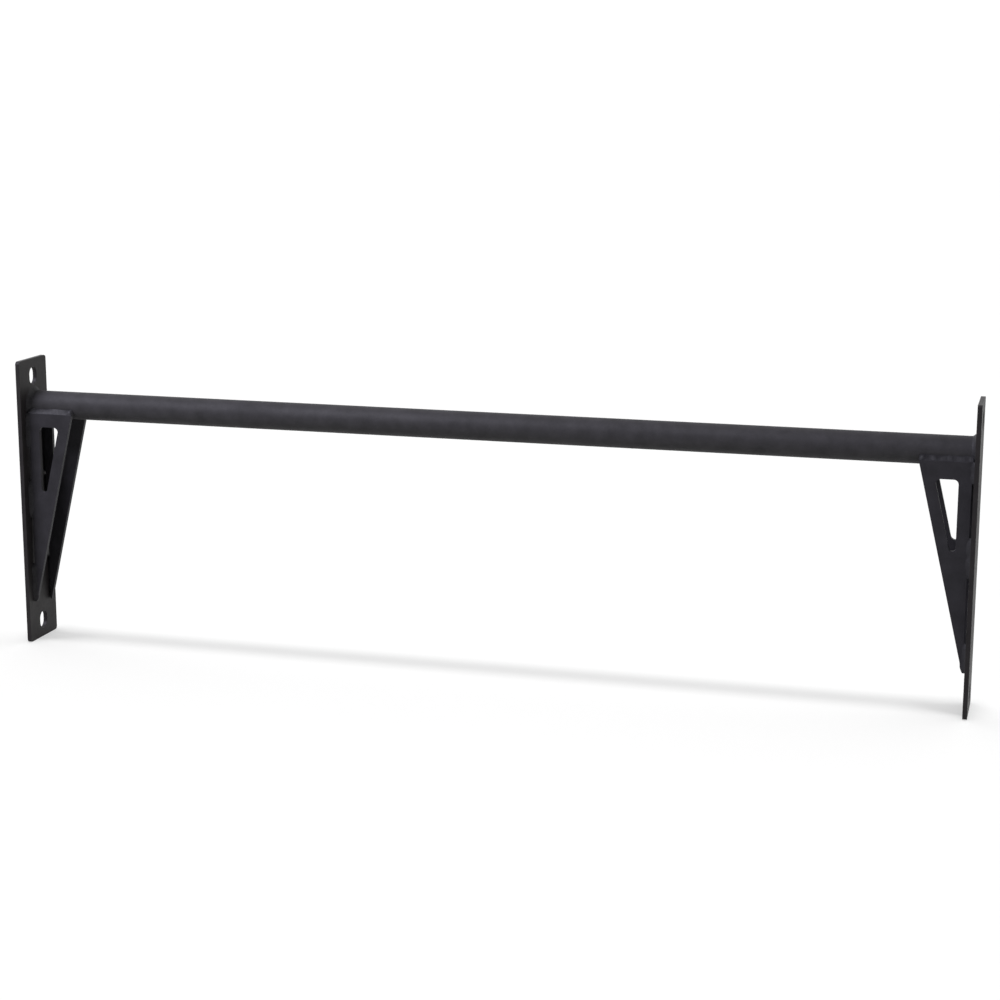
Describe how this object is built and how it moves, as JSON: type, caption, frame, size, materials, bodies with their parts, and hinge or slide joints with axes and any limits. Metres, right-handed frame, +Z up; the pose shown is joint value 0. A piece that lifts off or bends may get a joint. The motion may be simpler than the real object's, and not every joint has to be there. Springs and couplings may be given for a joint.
{
  "type": "pull up bar",
  "caption": "Fixed pull up bar: a straight grip tube welded between tall slotted end plates, with triangular gussets under each end.",
  "frame": {"origin": "on the grip tube's axis, at the middle of its length", "axes": "+X along the grip tube to the right-hand end plate, +Y to the rear, +Z up; the gussets hang below the tube"},
  "size_m": [1.1, 0.066, 0.338],
  "materials": {
    "tube_coat": "textured matt powder coat",
    "plate_coat": "textured matt powder coat",
    "gusset_coat": "textured matt powder coat",
    "weld_coat": "powder coat over weld ripples, a little smoother"
  },
  "bodies": {
    "root": {"grip_bar": "tube_coat", "left_end_plate": "plate_coat", "left_front_gusset": "gusset_coat", "left_rear_gusset": "gusset_coat", "left_ring_weld": "weld_coat", "left_front_bar_bead": "weld_coat", "left_front_upper_stitch": "weld_coat", "left_front_middle_stitch": "weld_coat", "left_front_lower_stitch": "weld_coat", "left_rear_bar_bead": "weld_coat", "left_rear_upper_stitch": "weld_coat", "left_rear_middle_stitch": "weld_coat", "left_rear_lower_stitch": "weld_coat", "right_end_plate": "plate_coat", "right_front_gusset": "gusset_coat", "right_rear_gusset": "gusset_coat", "right_ring_weld": "weld_coat", "right_front_bar_bead": "weld_coat", "right_front_upper_stitch": "weld_coat", "right_front_middle_stitch": "weld_coat", "right_front_lower_stitch": "weld_coat", "right_rear_bar_bead": "weld_coat", "right_rear_upper_stitch": "weld_coat", "right_rear_middle_stitch": "weld_coat", "right_rear_lower_stitch": "weld_coat"}
  },
  "joints": []
}
